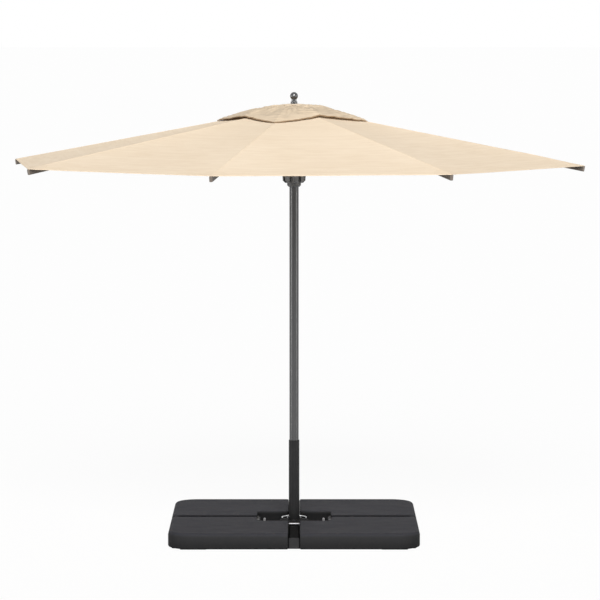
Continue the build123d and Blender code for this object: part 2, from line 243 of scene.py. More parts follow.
def clothFinish(name, look, tint=(1.0, 1.0, 1.0)):
    material, tree, shader = newFinish(
        name, Sheen_Weight=look["sheen"], Sheen_Roughness=look["sheenRoughness"])
    weave = tree.node("ShaderNodeUVMap", {"uv_map": "weave"})
    outward = weave.node("ShaderNodeSeparateXYZ", None, {0: weave})
    along = outward.other(1)
    turns = 2 * math.pi / look["threadPitch"]
    threads = (outward * turns).sine() * (along * turns).sine()
    weft, warp = (noise(stretched(weave, look[key]), 1.0, 2.0) for key in ("weftScale", "warpScale"))
    slub = weft * look["weftShare"] + warp * (1 - look["weftShare"])
    foldShade = tree.node("ShaderNodeAttribute", {"attribute_name": "foldShade"}, out=2)
    streaks = noise(stretched(weave, look["streakScale"]), 1.0, 3.0, 0.65).smooth(*look["streakRange"])
    clouds = noise(objectPlace(tree), look["cloudScale"], 4.0).smooth(*look["cloudRange"])
    deep, pale = (
        tuple(channel * share for channel, share in zip(look[key], tint)) for key in ("deep", "pale"))
    base = mixColour(clouds * look["cloudShare"] + streaks * (1 - look["cloudShare"]), deep, pale)
    base = mixColour(slub.smooth(*look["slubRange"]) * look["slubTone"], base, pale)
    base = mixColour((0.5 - threads * 0.5) * look["threadTone"], base, deep)
    # painted shade: the cloth deepens towards the crown, under the vent
    crownShadeZone = 1.0 - outward.smooth(*look["crownShadeRadii"])
    base = mixColour(crownShadeZone * look["crownShadeShare"], base, shaded(deep, look["crownShade"]))
    # painted shade in the valleys of the folds, from the attribute that the panel stores
    base = mixColour(foldShade * look["foldShadeShare"], base, shaded(deep, look["valleyShade"]))
    plug(shader, "Base Color", base)
    plug(shader, "Roughness", look["roughness"] + slub * look["slubRoughness"])
    relief = threads * look["threadRelief"] + slub * look["slubRelief"]
    plug(shader, "Normal", bump(relief, *look["bump"]))
    return material


tubeLook = {
    "colour": (0.036, 0.0365, 0.038),
    "worn": (0.050, 0.0505, 0.052),
    "roughness": 0.28,
    "mottleRoughness": 0.12,
    "streakRoughness": 0.06,
    "metallic": 0.3,
    "coat": 0.35,
    "coatRoughness": 0.2,
    "specular": 0.5,
    "streakScale": (420.0, 420.0, 6.0),
    "streakRange": (0.35, 0.75),
    "streakTone": 0.6,
    "mottleScale": 9.0,
    "mottleTone": 0.3,
    "bump": (0.05, 0.0004),
}


def drawnTube(name, look):
    # painted drawn tube: fine streaks along its length and a soft mottle in the gloss
    material, tree, shader = newFinish(
        name, Metallic=look["metallic"], Coat_Weight=look["coat"],
        Coat_Roughness=look["coatRoughness"], Specular_IOR_Level=look["specular"])
    place = objectPlace(tree)
    fine = noise(stretched(place, look["streakScale"]), 1.0, 2.0)
    soft = noise(place, look["mottleScale"], 3.0)
    tone = fine.smooth(*look["streakRange"]) * look["streakTone"] + soft * look["mottleTone"]
    plug(shader, "Base Color", mixColour(tone, look["colour"], look["worn"]))
    gloss = soft * look["mottleRoughness"] + fine * look["streakRoughness"]
    plug(shader, "Roughness", look["roughness"] + gloss)
    plug(shader, "Normal", bump(fine, *look["bump"]))
    return material


coatLook = {
    "rib": {
        "colour": (0.070, 0.057, 0.046), "worn": (0.095, 0.080, 0.066),
        "roughness": 0.40, "metallic": 0.2, "specular": 0.5},
    "sleeve": {
        "colour": (0.0165, 0.0165, 0.017), "worn": (0.0235, 0.0235, 0.024),
        "roughness": 0.25, "metallic": 0.0, "specular": 0.12,
        # painted shade where it meets the base, between two heights: dark there, and duller
        "foot": (0.0045, 0.0045, 0.0047), "footShadeHeights": (0.060, 0.170), "footRoughness": 0.5},
    "frame": {
        "colour": (0.0024, 0.0024, 0.0025), "worn": (0.0052, 0.0052, 0.0055),
        "roughness": 0.61, "metallic": 0.0, "specular": 0.02},
}
coatSkin = {
    "peelScale": 950.0,
    "bump": (0.16, 0.0006),
    "speckScale": 260.0,
    "speckRange": (0.68, 0.78),
    "speckTone": 0.5,
    "broadScale": 14.0,
    "broadRange": (0.45, 0.8),
    "broadTone": 0.4,
    "broadRoughness": 0.14,
}


def powderCoat(name, look):
    # powder coat: orange-peel skin with a few paler rubbed specks
    material, tree, shader = newFinish(
        name, Metallic=look["metallic"], Specular_IOR_Level=look["specular"])
    place = objectPlace(tree)
    peel = noise(place, coatSkin["peelScale"], 2.0)
    broad = noise(place, coatSkin["broadScale"], 4.0)
    specks = noise(place, coatSkin["speckScale"], 1.0).smooth(*coatSkin["speckRange"])
    rubbed = specks * coatSkin["speckTone"] + broad.smooth(*coatSkin["broadRange"]) * coatSkin["broadTone"]
    colour = mixColour(rubbed, look["colour"], look["worn"])
    roughness = look["roughness"] + broad * coatSkin["broadRoughness"]
    if "foot" in look:
        # painted shade: the sleeve darkens towards the base
        foot = 1.0 - heightOf(place).smooth(*look["footShadeHeights"])
        colour = mixColour(foot, colour, look["foot"])
        roughness = roughness + foot * look["footRoughness"]
    plug(shader, "Base Color", colour)
    plug(shader, "Roughness", roughness)
    plug(shader, "Normal", bump(peel, *coatSkin["bump"]))
    return material


tankLook = {
    # the colour low down is painted shade: the sides darken towards the floor
    "low": (0.0125, 0.0125, 0.0130),
    "well": (0.0085, 0.0085, 0.0088),
    "colour": (0.0240, 0.0240, 0.0248),
    "dustAndSheen": (0.0325, 0.0328, 0.0385),
    "roughness": 0.62,
    "flowRoughness": 0.14,
    "grainRoughness": 0.06,
    "specular": 0.05,
    "floorShadeHeights": (0.0, 0.078),
    # painted shade on the walls of the well: how far from the mast, and how high
    "wellRadii": (0.25, 0.28),
    "wellHeights": (0.066, 0.079),
    "dustAndSheenHeights": (0.035, 0.075),
    "dustAndSheenSlope": (0.0, 0.95),
    "dustAndSheenLevel": 0.72,
    "dustAndSheenFlow": 0.56,
    "flowStretch": (2.0, 2.0, 6.0),
    "flowScale": 3.0,
    "sinkStretch": (1.0, 1.0, 0.4),
    "sinkScale": 4.0,
    "grainScale": 620.0,
    "grainRange": (0.5, 0.9),
    "grainTone": 0.10,
    "grainRelief": 0.03,
    "bump": (0.45, 0.030),
}


def mouldedPlastic(name, look):
    # blow-moulded shell: leathery grain and slow sink marks; a pale film on what faces up that is partly dust
    # and partly a painted sheen of the bright sky; painted shade low on the sides and in the well
    material, tree, shader = newFinish(name, Specular_IOR_Level=look["specular"])
    place = objectPlace(tree)
    height = heightOf(place)
    grain = noise(place, look["grainScale"], 3.0, 0.6)
    flow = noise(stretched(place, look["flowStretch"]), look["flowScale"], 4.0)
    sinks = noise(stretched(place, look["sinkStretch"]), look["sinkScale"], 2.0)
    # painted shade: the sides are darker towards the floor
    side = mixColour(height.smooth(*look["floorShadeHeights"]), look["low"], look["colour"])
    # painted shade on the walls of the well, low down near the mast
    inWellShade = 1.0 - fromMast(place).smooth(*look["wellRadii"])
    side = mixColour(inWellShade * (1.0 - height.smooth(*look["wellHeights"])), side, look["well"])
    # partly dust, partly painted sheen: faces that look up get a paler, bluer colour, like the bright sky
    # seen in them at a grazing view
    facesUp = heightOf(faceNormal(tree)).smooth(*look["dustAndSheenSlope"])
    dustAndSheen = facesUp * (look["dustAndSheenLevel"] + flow * look["dustAndSheenFlow"]) * height.smooth(*look["dustAndSheenHeights"])
    dustAndSheen = dustAndSheen + grain.smooth(*look["grainRange"]) * look["grainTone"]
    plug(shader, "Base Color", mixColour(dustAndSheen, side, look["dustAndSheen"]))
    dullness = flow * look["flowRoughness"] + grain * look["grainRoughness"]
    plug(shader, "Roughness", look["roughness"] + dullness)
    plug(shader, "Normal", bump(grain * look["grainRelief"] + sinks, *look["bump"]))
    return material


plasticLook = {
    "nylon": {"colour": (0.030, 0.030, 0.032), "pale": (0.050, 0.050, 0.052), "roughness": 0.39},
    "collar": {"colour": (0.076, 0.076, 0.077), "pale": (0.098, 0.098, 0.099), "roughness": 0.41},
    "runner": {"colour": (0.118, 0.118, 0.118), "pale": (0.150, 0.150, 0.150)},
    "cap": {
        "colour": (0.011, 0.011, 0.0115), "pale": (0.018, 0.018, 0.0185), "roughness": 0.57,
        "specular": 0.2},
    "finial": {
        "colour": (0.022, 0.022, 0.023), "pale": (0.032, 0.032, 0.033), "roughness": 0.05,
        "specular": 1.0, "grain": 900.0},
    "thread": {
        "colour": (0.74, 0.60, 0.43), "pale": (0.86, 0.73, 0.55), "roughness": 0.70, "grain": 2400.0},
    "tipPlug": {"colour": (0.130, 0.105, 0.086), "pale": (0.170, 0.140, 0.115)},
}
plasticSkin = {
    "specular": 0.5,
    "grain": 480.0,
    "mottleScale": 22.0,
    "mottleRange": (0.35, 0.8),
    "mottleRoughness": 0.12,
    "bump": (0.08, 0.0004),
    "slotShadeRange": (0.2, 0.5),
}


def plainPlastic(name, look, outer=None, outerFrom=0.0, slotShade=None):
    # outer: the colours beyond a distance from the mast; the last argument is painted shade, the colour of
    # the walls of radial slots
    look = {**plasticSkin, **look}
    material, tree, shader = newFinish(name, Specular_IOR_Level=look["specular"])
    place = objectPlace(tree)
    fine = noise(place, look["grain"], 2.0)
    soft = noise(place, look["mottleScale"], 3.0)
    mottle = soft.smooth(*look["mottleRange"])
    colour = mixColour(mottle, look["colour"], look["pale"])
    if outer:
        second = mixColour(mottle, outer["colour"], outer["pale"])
        colour = mixColour(fromMast(place).smooth(outerFrom, outerFrom + 0.001), colour, second)
    if slotShade:
        # painted shade on the walls of the slots
        colour = mixColour(facesOut(place).smooth(*look["slotShadeRange"]), slotShade, colour)
    plug(shader, "Base Color", colour)
    plug(shader, "Roughness", look["roughness"] + soft * look["mottleRoughness"])
    plug(shader, "Normal", bump(fine, *look["bump"]))
    return material


steelLook = {
    "colour": (0.62, 0.63, 0.64),
    "dull": (0.46, 0.46, 0.47),
    "zinc": (0.22, 0.22, 0.23),
    "black": (0.010, 0.010, 0.011),
    "specular": 0.3,
    "lineScale": (60.0, 60.0, 900.0),
    "lineRoughness": 0.10,
    "mottleScale": 35.0,
    "mottleRange": (0.4, 0.8),
    "mottleRoughness": 0.08,
    "zincRoughness": 0.08,
    "blackRoughness": 0.35,
    "bump": (0.04, 0.0002),
}
# distances from the mast: the flange bolts are black, and so are the feet of the half ring below a height;
# the U-bolts further out are zinc plated
fasteningZones = {"blackWithin": 0.0575, "feetWithin": 0.070, "feetBelow": 0.0725, "zincFrom": 0.11}


def brightSteel(name, look, roughness, zones=None):
    material, tree, shader = newFinish(name, Metallic=1.0, Specular_IOR_Level=look["specular"])
    place = objectPlace(tree)
    lines = noise(stretched(place, look["lineScale"]), 1.0, 2.0)
    soft = noise(place, look["mottleScale"], 3.0)
    colour = mixColour(soft.smooth(*look["mottleRange"]), look["colour"], look["dull"])
    roughness = roughness + lines * look["lineRoughness"] + soft * look["mottleRoughness"]
    if zones:
        away = fromMast(place)
        beyond = away.smooth(zones["feetWithin"] - 0.001, zones["feetWithin"])
        above = heightOf(place).smooth(zones["feetBelow"] - 0.001, zones["feetBelow"])
        bare = away.smooth(zones["blackWithin"] - 0.0005, zones["blackWithin"])
        bare = bare * away.math("MAXIMUM", beyond, above)
        zinc = away.smooth(zones["zincFrom"], zones["zincFrom"] + 0.02)
        colour = mixColour(bare, look["black"], mixColour(zinc, colour, look["zinc"]))
        roughness = roughness + zinc * look["zincRoughness"] + (1.0 - bare) * look["blackRoughness"]
        plug(shader, "Metallic", bare)
    plug(shader, "Base Color", colour)
    plug(shader, "Roughness", roughness)
    plug(shader, "Normal", bump(lines, *look["bump"]))
    return material


def radiusOf(point):
    return math.hypot(point.x, point.y)


tipRadius = max(radiusOf(vertex.co) for vertex in nodes["canopy_1_right"].data.vertices)
tipPlugLength = 0.06
# the slot walls get a dark colour as painted shade
runnerTones = {"collarRadius": 0.042, "slotWallShade": (0.010, 0.010, 0.010)}
finish = {
    "cloth": clothFinish("canopyCanvas", clothLook),
    "ventCloth": clothFinish("ventCanvasShaded", clothLook, ventShadeTint),
    "binding": clothFinish("ventBinding", clothLook, bindingShadeTint),
    "mast": drawnTube("anthraciteTube", tubeLook),
    "rib": powderCoat("ribPaint", coatLook["rib"]),
    "sleeve": powderCoat("sleevePowderCoat", coatLook["sleeve"]),
    "frame": powderCoat("framePowderCoat", coatLook["frame"]),
    "tank": mouldedPlastic("tankShell", tankLook),
    "nylon": plainPlastic("blackNylon", plasticLook["nylon"]),
    "runner": plainPlastic(
        "runnerNylon", plasticLook["collar"], plasticLook["runner"],
        runnerTones["collarRadius"], runnerTones["slotWallShade"]),
    "fittings": plainPlastic(
        "ribFittings", plasticLook["nylon"], plasticLook["tipPlug"], tipRadius - tipPlugLength),
    "cap": plainPlastic("greyEndCap", plasticLook["cap"]),
    "finial": plainPlastic("finialGloss", plasticLook["finial"]),
    "thread": plainPlastic("sewingThread", plasticLook["thread"]),
    "bright": brightSteel("brightSteel", steelLook, 0.30, fasteningZones),
    "pin": brightSteel("pinSteel", steelLook, 0.28),
}
nodeFinish = {
    "cross_frame": "frame", "frame_end_caps": "cap", "socket_tube": "sleeve",
    "base_fastenings": "bright", "clamp_knob": "nylon", "mast_tube": "mast", "crown_hub": "nylon",
    "crown_pins": "pin", "finial": "finial", "canopy_top_cap": "cloth", "catch_button": "pin",
    "runner": "runner",
}
prefixFinish = (
    ("tank_", "tank"), ("fill_cap", "nylon"), ("rib_fittings", "fittings"), ("rib_", "rib"),
    ("strut_", "rib"), ("canopy_", "cloth"),
)


def finishOf(node):
    if node in nodeFinish:
        return finish[nodeFinish[node]]
    return next(finish[key] for start, key in prefixFinish if node.startswith(start))


for name, piece in nodes.items():
    piece.data.materials.clear()
    piece.data.materials.append(finishOf(name))
print("finishes:", len(finish))


# Geometry Nodes helpers

def newTree(name, inputs):
    tree = bpy.data.node_groups.new(name, "GeometryNodeTree")
    tree.is_modifier = True
    for label, kind in inputs.items():
        tree.interface.new_socket(label, in_out="INPUT", socket_type="NodeSocket" + kind)
    tree.interface.new_socket("Geometry", in_out="OUTPUT", socket_type="NodeSocketGeometry")
    source = tree.nodes.new("NodeGroupInput")
    return tree, {label: Wire(tree, source.outputs[label]) for label in inputs}


def closeTree(tree, shape, material):
    solid = shape.node("GeometryNodeRealizeInstances", None, {0: shape})
    painted = solid.node("GeometryNodeSetMaterial", None, {"Geometry": solid, "Material": material})
    output = tree.nodes.new("NodeGroupOutput")
    tree.links.new(painted.socket, output.inputs[0])


def newPiece(name, mesh):
    piece = bpy.data.objects.new(name, mesh)
    bpy.context.scene.collection.objects.link(piece)
    return piece


def settle(piece):
    # turns the evaluated result into a plain mesh
    graph = bpy.context.evaluated_depsgraph_get()
    mesh = bpy.data.meshes.new_from_object(piece.evaluated_get(graph))
    piece.modifiers.clear()
    old = piece.data
    piece.data = mesh
    bpy.data.meshes.remove(old)
    mesh.name = piece.name
    return piece


def grow(name, tree, values, mesh=None):
    # values that are no input of the tree are left out
    piece = newPiece(name, mesh or bpy.data.meshes.new(name))
    modifier = piece.modifiers.new("grow", "NODES")
    modifier.node_group = tree
    for item in tree.interface.items_tree:
        if item.item_type == "SOCKET" and item.in_out == "INPUT" and item.name in values:
            modifier[item.identifier] = values[item.name]
    return settle(piece)


def joinPieces(target, others):
    for piece in bpy.context.view_layer.objects:
        piece.select_set(piece in (target, *others))
    bpy.context.view_layer.objects.active = target
    bpy.ops.object.join()
    target.select_set(False)
    return target


def outwards(piece):
    # closed pieces are made to face outwards
    shape = bmesh.new()
    shape.from_mesh(piece.data)
    bmesh.ops.recalc_face_normals(shape, faces=shape.faces)
    shape.to_mesh(piece.data)
    shape.free()
    return piece


def stripMesh(name, loops, material, closed=False):
    # a strip through equal loops of points, with its weave measured along and round it
    count = len(loops[0])
    corners = [point for loop in loops for point in loop]
    steps = [0.0]
    for first, second in zip(loops, loops[1:] + loops[:1]):
        steps.append(steps[-1] + (second[0] - first[0]).length)
    turns = [0.0]
    for first, second in zip(loops[0], loops[0][1:] + loops[0][:1]):
        turns.append(turns[-1] + (second - first).length)
    faces, weave = [], []
    for step in range(len(loops) if closed else len(loops) - 1):
        here, there = step * count, (step + 1) % len(loops) * count
        for index in range(count):
            after = (index + 1) % count
            faces.append((here + index, here + after, there + after, there + index))
            weave += [
                (steps[step], turns[index]), (steps[step], turns[index + 1]),
                (steps[step + 1], turns[index + 1]), (steps[step + 1], turns[index])]
    if not closed:
        faces += [tuple(reversed(range(count))), tuple(range(len(corners) - count, len(corners)))]
        weave += [(0.0, 0.0)] * (2 * count)
    mesh = bpy.data.meshes.new(name)
    mesh.from_pydata([tuple(corner) for corner in corners], [], faces)
    layer = mesh.uv_layers.new(name="weave")
    for place, value in zip(layer.data, weave):
        place.uv = value
    mesh.materials.append(material)
    return mesh


def stripPiece(name, loops, material, closed=False):
    return outwards(newPiece(name, stripMesh(name, loops, material, closed)))


def walk(points, distance):
    # the point at a distance along a line of points
    for first, second in zip(points, points[1:]):
        step = (second - first).length
        if distance <= step:
            return first.lerp(second, distance / step)
        distance -= step
    return points[-1].copy()


def lineMesh(name, lines):
    mesh = bpy.data.meshes.new(name)
    corners, edges = [], []
    for line in lines:
        edges += [(len(corners) + step, len(corners) + step + 1) for step in range(len(line) - 1)]
        corners += [tuple(point) for point in line]
    mesh.from_pydata(corners, edges, [])
    return mesh


def beadTree():
    # rounded beads one after another along lines: stitches, weld ripples, grip ribs
    tree, size = newTree("beadRow", {
        "Geometry": "Geometry", "pitch": "Float", "length": "Float", "width": "Float",
        "height": "Float", "up": "Vector", "smoothness": "Int", "finish": "Material"})
    start = Wire(tree)
    path = start.node("GeometryNodeMeshToCurve", None, {0: size["Geometry"]})
    points = path.node(
        "GeometryNodeCurveToPoints", {"mode": "LENGTH"}, {"Curve": path, "Length": size["pitch"]})
    turn = points.node(
        "FunctionNodeAlignRotationToVector", {"axis": "X"}, {"Vector": points.other(1)})
    turn = points.node("FunctionNodeAlignRotationToVector", {"axis": "Z", "pivot_axis": "X"}, {
        "Rotation": turn, "Vector": size["up"]})
    bead = start.node("GeometryNodeMeshIcoSphere", None, {
        "Radius": 0.5, "Subdivisions": size["smoothness"]})
    scale = start.node("ShaderNodeCombineXYZ", None, {
        "X": size["length"], "Y": size["width"], "Z": size["height"]})
    row = start.node("GeometryNodeInstanceOnPoints", None, {
        "Points": points, "Instance": bead, "Rotation": turn, "Scale": scale})
    closeTree(tree, row, size["finish"])
    return tree


beadRow = beadTree()


def beadPiece(name, lines, up, settings, material):
    return grow(name, beadRow, {**settings, "up": up, "finish": material}, lineMesh(name, lines))


# Canopy cloth

clothSizes = {
    "thickness": 0.0010,
    "rows": 56,
    "columns": 22,
    "innerRadius": 0.225,
    "sag": 0.009,
    "hemSag": 0.12,
    "wrinkle": 0.0007,
    "wrinkleScale": 5.5,
    "foldScale": 5.0,
    "seed": 3.0,
}
ventSizes = {
    "rows": 72,
    "columns": 26,
    "innerRadius": 0.058,
    "innerHeight": 2.2099,
    "bulge": 0.0160,
    "sag": 0.003,
    "hemSag": 0.15,
    "wrinkle": 0.0016,
    "wrinkleScale": 9.0,
    "foldScale": 5.0,
    "gather": 0.0080,
    "gatherScale": 6.5,
    # how strong the painted shade in the folds is
    "foldShadeShare": 0.60,
    "ripple": 0.0070,
    "seed": 11.0,
    # the square tier over each rib, from rib 1 to rib 8: how far out it reaches,
    # and how high it floats over the canopy
    "reach": (0.384, 0.264, 0.389, 0.272, 0.397, 0.270, 0.411, 0.294),
    "lift": (0.0052, 0.0155, 0.0055, 0.0190, 0.0090, 0.0160, 0.0060, 0.0150),
    # and how high half way from each rib to the next
    "middleLift": (0.0070, 0.0130, 0.0090, 0.0090, 0.0090, 0.0090, 0.0130, 0.0100),
}
foldRule = {
    # how fast the folds change on the way out
    "softDrift": 4.0,
    "gatherDrift": 6.0,
    "creaseSlope": 4.0,
    "creasePower": 0.8,
    # shares of the way from the crown to the hem
    "gatherStart": (0.02, 0.16),
    "gatherEnd": (0.25, 1.15),
    "gatherLoss": 0.9,
    "rippleStart": (0.05, 0.3),
    "rippleTurns": 3.0,
    "rippleDrift": 52.0,
    "patchScale": 5.0,
    "patchRange": (0.30, 0.55),
    # painted shade in the troughs of the ripples
    "troughShadeGain": -5.0,
    "troughShadeMost": 0.7,
}


def canopyPanelTree():
    tree, size = newTree("canopyPanel", {
        "rows": "Int", "columns": "Int", "goreHalfAngle": "Float", "innerRadius": "Float",
        "ownReach": "Float", "middleReach": "Float", "innerHeight": "Float", "ownHeight": "Float",
        "middleHeight": "Float", "bulge": "Float", "sag": "Float", "hemSag": "Float",
        "wrinkle": "Float", "wrinkleScale": "Float", "foldScale": "Float", "gather": "Float",
        "gatherScale": "Float", "foldShadeShare": "Float", "ripple": "Float", "seed": "Float",
        "ribDirection": "Vector", "acrossDirection": "Vector", "cloth": "Material",
    })
    start = Wire(tree)
    grid = start.node("GeometryNodeMeshGrid", None, {
        "Size X": 1.0, "Size Y": 1.0, "Vertices X": size["rows"], "Vertices Y": size["columns"]})
    place = start.node("GeometryNodeInputPosition")
    split = place.node("ShaderNodeSeparateXYZ", None, {0: place})
    # 0 to 1 from the crown to the hem, and from the rib to the middle of the gore
    out = split + 0.5
    side = split.other(1) + 0.5
    rim = size["ownReach"] + (size["middleReach"] - size["ownReach"]) * side
    rimHeight = size["ownHeight"] + (size["middleHeight"] - size["ownHeight"]) * side
    radius = size["innerRadius"] + (rim - size["innerRadius"]) * out
    sine = size["goreHalfAngle"].sine()
    reach = radius * sine * side
    forward = radius - reach * sine
    across = reach * size["goreHalfAngle"].cosine()
    plan = size["ribDirection"].scaled(forward)
    plan = plan.vector("ADD", plan, size["acrossDirection"].scaled(across))
    height = size["innerHeight"] + (rimHeight - size["innerHeight"]) * out
    arch = out * (1.0 - out) * 4.0
    height = height + size["bulge"] * arch
    height = height - size["sag"] * side * (2.0 - side) * (arch + size["hemSag"])
    # soft folds that run outwards: the same all along a ray from the mast, so neighbours meet
    ray = plan.vector("NORMALIZE", plan)

    def waves(vector, scale):
        return plan.node("ShaderNodeTexNoise", {"noise_dimensions": "4D"}, {
            "Vector": vector, "W": size["seed"], "Scale": scale, "Detail": 2.0, "Roughness": 0.45})

    def rayFolds(scale, drift):
        outward = ray.node("ShaderNodeCombineXYZ", None, {"Z": radius * drift})
        return waves(ray.vector("ADD", ray.scaled(scale), outward), 1.0) - 0.5

    soft = (waves(plan, size["wrinkleScale"]) - 0.5) + rayFolds(size["foldScale"], foldRule["softDrift"])
    height = height + soft * 2.0 * size["wrinkle"]
    # sharp gathers that start under the finial and fade towards the hem
    fold = rayFolds(size["gatherScale"], foldRule["gatherDrift"])
    crease = fold.math("ABSOLUTE", fold) * foldRule["creaseSlope"]
    crease = crease.math("MINIMUM", crease, 1.0) ** foldRule["creasePower"]
    fade = 1.0 - out.smooth(*foldRule["gatherEnd"]) * foldRule["gatherLoss"]
    fade = out.smooth(*foldRule["gatherStart"]) * fade
    height = height + (crease - 0.5) * fade * size["gather"]
    # short ripples across the slope, in patches
    patches = waves(plan, foldRule["patchScale"]).smooth(*foldRule["patchRange"])
    ripples = rayFolds(foldRule["rippleTurns"], foldRule["rippleDrift"]) * patches
    ripples = ripples * out.smooth(*foldRule["rippleStart"])
    height = height + ripples * 2.0 * size["ripple"]
    raised = plan.node("ShaderNodeCombineXYZ", None, {"Z": height})
    # painted shade in the folds: the valleys of the gathers and the troughs of the ripples, stored as an
    # attribute for the cloth's colour
    troughShade = ripples.math("MAXIMUM", ripples * foldRule["troughShadeGain"], 0.0)
    troughShade = troughShade.math("MINIMUM", troughShade, foldRule["troughShadeMost"])
    foldShade = ((1.0 - crease) ** 2.0 * fade + troughShade) * size["foldShadeShare"]
    # both are stored while the grid is still flat, because they are worked out from its positions
    weave = start.node("ShaderNodeCombineXYZ", None, {"X": radius, "Y": reach})
    shape = start.node(
        "GeometryNodeStoreNamedAttribute", {"data_type": "FLOAT2", "domain": "CORNER"},
        {"Geometry": grid, "Name": "weave", "Value": weave})
    shape = start.node(
        "GeometryNodeStoreNamedAttribute", {"data_type": "FLOAT", "domain": "POINT"},
        {"Geometry": shape, "Name": "foldShade", "Value": foldShade})
    shape = start.node("GeometryNodeSetPosition", None, {
        "Geometry": shape, "Position": plan.vector("ADD", plan, raised)})
    closeTree(tree, shape, size["cloth"])
    return tree


panelTree = canopyPanelTree()


def ribFrame(number):
    # ridge line of the cloth over a rib, from the fold joint of the half gore beside it
    joint = joints[f"canopy_{number}_right_fold"]
    along = Vector(joint["axis"])
    outward = Vector((along.x, along.y, 0)).normalized()
    tilt = -along.z / math.hypot(along.x, along.y)
    point = Vector(joint["pos_m"])
    return {
        "outward": outward,
        "across": Vector((-outward.y, outward.x, 0)),
        "tilt": tilt,
        "apex": point.z + radiusOf(point) * tilt - clothSizes["thickness"] / 2 * math.hypot(1, tilt),
        "point": point,
    }


def growPanel(name, number, sign, sizes, rim, cloth):
    # rim: how far out and how high the panel ends over its rib and in the middle of the gore
    rib = ribFrame(number)
    piece = grow(name, panelTree, {
        **sizes,
        **rim,
        "goreHalfAngle": halfGore,
        "ribDirection": rib["outward"],
        "acrossDirection": rib["across"] * sign,
        "cloth": finish[cloth],
    })
    if piece.data.polygons[0].normal.z < 0:
        piece.data.flip_normals()
    return piece


def gridOf(piece, rows, columns):
    # underside points of a panel, row by row from the crown to the hem
    points = [vertex.co.copy() for vertex in piece.data.vertices]
    return [points[row * columns:(row + 1) * columns] for row in range(rows)]


def lengthOf(points):
    return sum((second - first).length for first, second in zip(points, points[1:]))


def panelUp(grid):
    corner = grid[-1]
    up = (corner[-1] - corner[0]).cross(grid[0][0] - corner[0]).normalized()
    return up if up.z > 0 else -up


def edgeBand(name, columns, profile, up, material):
    # a profile of (distance in from the hem, height over the underside) carried along the hem
    loops = []
    for column in columns:
        inward = (column[1] - column[0]).normalized()
        loop = []
        for distance, lift in profile:
            point = walk(column, distance) if distance >= 0 else column[0] + inward * distance
            loop.append(point + up * lift)
        loops.append(loop)
    return stripPiece(name, loops, material)


stitchSizes = {
    "pitch": 0.0056, "length": 0.0044, "width": 0.0010, "height": 0.0007, "smoothness": 1, "raise": 0.0001}
hemSizes = {
    "width": 0.026,
    "rows": (0.005, 0.021),
    "fold": 0.0008,  # thickness of the turned edge, under the cloth
    "lip": 0.003,  # how far the turn shows on top
    "lipLift": (0.0003, 0.0005),
    "overhang": 0.0008,
    "gap": 0.0001,
}
patchSizes = {
    "start": 0.001,
    "reach": 0.095,
    "width": 0.085,
    "leastWidth": 0.006,
    "taper": 0.6,
    "thickness": 0.0006,
    "foot": 0.0003,
    "sewnIn": 0.004,
    "steps": 12,
}
tapeSizes = {
    "width": 0.010,
    "rows": (0.005,),
    "lip": 0.004,
    "lipLift": (0.0003, 0.0005),
    "overhang": 0.0008,
    "drop": 0.0030,  # the corded edge hangs this far below the cloth
    "cord": (-0.0004, 0.0008, 0.0016),
    "under": 0.0009,
    "gap": 0.0001,
}


def cornerPatch(name, columns, up):
    # a tapering patch over the corner at the rib's tip, and the line that it is sewn along
    thickness = clothSizes["thickness"]
    foot = up * patchSizes["foot"]
    high = up * (thickness + patchSizes["thickness"])
    loops, edge = [], []
    for step in range(patchSizes["steps"] + 1):
        part = step / patchSizes["steps"]
        across = [walk(column, patchSizes["start"] + part * patchSizes["reach"]) for column in columns]
        width = patchSizes["width"] * (1 - part) ** patchSizes["taper"] + patchSizes["leastWidth"]
        near, middle, far = across[0], walk(across, width / 2), walk(across, width)
        loops.append([near + foot, near + high, middle + high, far + high, far + foot, middle + foot])
        edge.append(walk(across, width - patchSizes["sewnIn"]) + high)
    return stripPiece(name, loops, finish["cloth"]), edge


def hemPiece(name, grid, up):
    # the edge of the cloth turned under and sewn with two rows, and a patch over the corner
    thickness = clothSizes["thickness"]
    columns = list(zip(*reversed(grid)))
    width, lip, fold, gap = (hemSizes[key] for key in ("width", "lip", "fold", "gap"))
    low, high = (thickness + lift for lift in hemSizes["lipLift"])
    band = edgeBand(name, columns, (
        (lip, low), (0.0, high), (-hemSizes["overhang"], thickness / 2), (0.0, -fold),
        (width, -fold), (width, -gap), (lip, -gap)), up, finish["cloth"])
    lines = []
    for distance in hemSizes["rows"]:
        for lift in (thickness + stitchSizes["raise"], -fold - stitchSizes["raise"]):
            lines.append([walk(column, distance) + up * lift for column in columns])
    patch, edge = cornerPatch(name + "Patch", columns, up)
    sewing = beadPiece(name + "Rows", [*lines, edge], up, stitchSizes, finish["thread"])
    return joinPieces(band, [patch, sewing])


def bindingPiece(name, grid, up):
    # tape that binds the lower edge of the vent's tier; its dark brown is partly the tape's own colour and
    # partly painted shade for the shadow line under the hem
    thickness = clothSizes["thickness"]
    columns = list(zip(*reversed(grid)))
    width, lip, drop, under, gap = (tapeSizes[key] for key in ("width", "lip", "drop", "under", "gap"))
    low, high = (thickness + lift for lift in tapeSizes["lipLift"])
    cordOut, cordIn, cordEnd = tapeSizes["cord"]
    band = edgeBand(name, columns, (
        (lip, low), (0.0, high), (-tapeSizes["overhang"], thickness / 2), (cordOut, -drop),
        (cordIn, -drop), (cordEnd, -under), (width, -under), (width, -gap), (lip, -gap)),
        up, finish["binding"])
    lift = up * (thickness + stitchSizes["raise"])
    lines = [[walk(column, distance) + lift for column in columns] for distance in tapeSizes["rows"]]
    return joinPieces(band, [beadPiece(name + "Rows", lines, up, stitchSizes, finish["thread"])])


